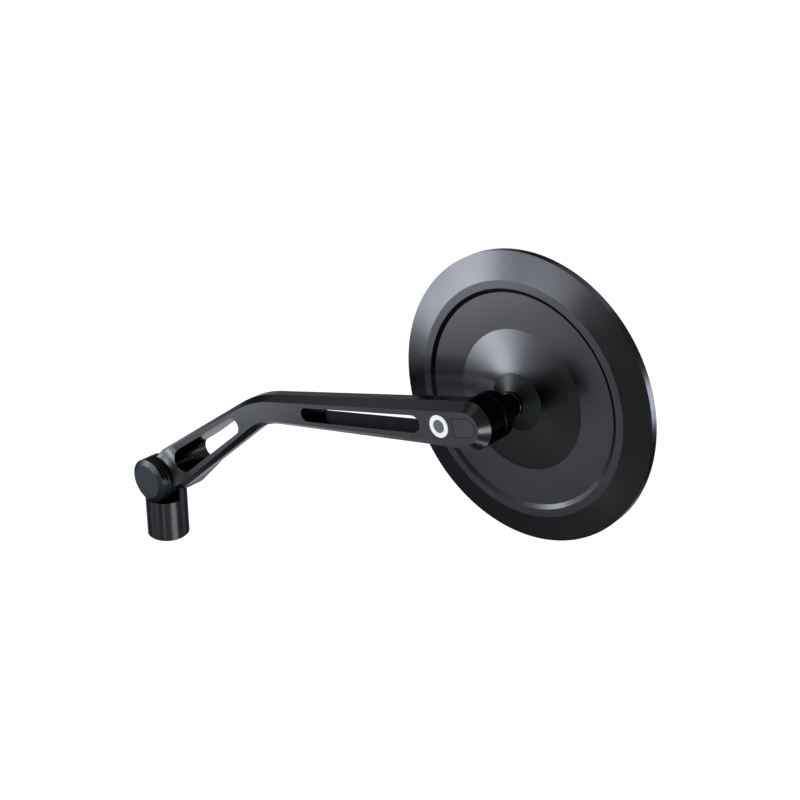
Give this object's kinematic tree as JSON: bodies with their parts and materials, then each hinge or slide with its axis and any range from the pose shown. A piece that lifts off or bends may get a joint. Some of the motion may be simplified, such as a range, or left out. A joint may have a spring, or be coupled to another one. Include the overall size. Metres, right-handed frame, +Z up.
{
  "type": "motorcycle mirror",
  "caption": "Round convex rear-view mirror on a bent, slotted arm: the arm folds on a post that screws onto a stud, and the head tilts on a ball joint.",
  "frame": {"origin": "centre of the base post's bottom face, at the mouth of its threaded hole", "axes": "+Z up the post, +X along the arm's reach, -Y towards the pivot cap and +Y towards the rider who looks into the glass"},
  "size_m": [0.2092, 0.0413, 0.1445],
  "materials": {
    "black_post": "satin black anodised",
    "black_arm": "satin black anodised",
    "black_cap": "satin black anodised",
    "black_head": "satin black anodised",
    "black_rings": "satin black anodised",
    "dark_steel": "blackened steel",
    "bronze": "plain bearing bronze",
    "friction_plastic": "low-friction plastic",
    "cover_black": "satin black inlay",
    "white_plastic": "bright white",
    "grey_screw": "dull grey steel",
    "rubber": "black rubber",
    "adhesive": "black adhesive pad",
    "mirror": "silvered convex glass"
  },
  "bodies": {
    "foot": {"base_post": "black_post", "pivot_bush": "bronze", "front_friction_washer": "friction_plastic", "rear_friction_washer": "friction_plastic"},
    "arm": {"arm": "black_arm", "pivot_bolt": "dark_steel", "pivot_cap": "black_cap", "thrust_ring": "black_rings", "spring_ring": "dark_steel", "end_cover": "cover_black", "screw_ring": "white_plastic", "ring_screw": "grey_screw", "pressure_cup": "friction_plastic", "cup_spring": "dark_steel", "socket_ring": "black_rings"},
    "liner": {"ball_liner": "friction_plastic"},
    "stud": {"ball_stud": "dark_steel", "neck_ring": "rubber"},
    "head": {"hub_cone": "black_rings", "mirror_housing": "black_head", "nut_washer": "dark_steel", "stud_nut": "dark_steel", "glass_pad": "adhesive", "mirror_glass": "mirror"}
  },
  "joints": [
    {"name": "arm_pivot", "type": "hinge", "parent": "foot", "child": "arm", "pos_m": [0, 0, 0.0258], "axis": [0, -1, 0], "range_deg": [0, 100]},
    {"name": "head_yaw", "type": "hinge", "parent": "arm", "child": "liner", "pos_m": [0.1505, 0.0087, 0.0945], "axis": [0, 0, 1], "range_deg": [-15, 15]},
    {"name": "head_pitch", "type": "hinge", "parent": "liner", "child": "stud", "pos_m": [0.1505, 0.0087, 0.0945], "axis": [1, 0, 0], "range_deg": [-15, 15]},
    {"name": "head_spin", "type": "hinge", "parent": "stud", "child": "head", "pos_m": [0.1505, 0.0087, 0.0945], "axis": [0, 1, 0], "continuous": true}
  ]
}
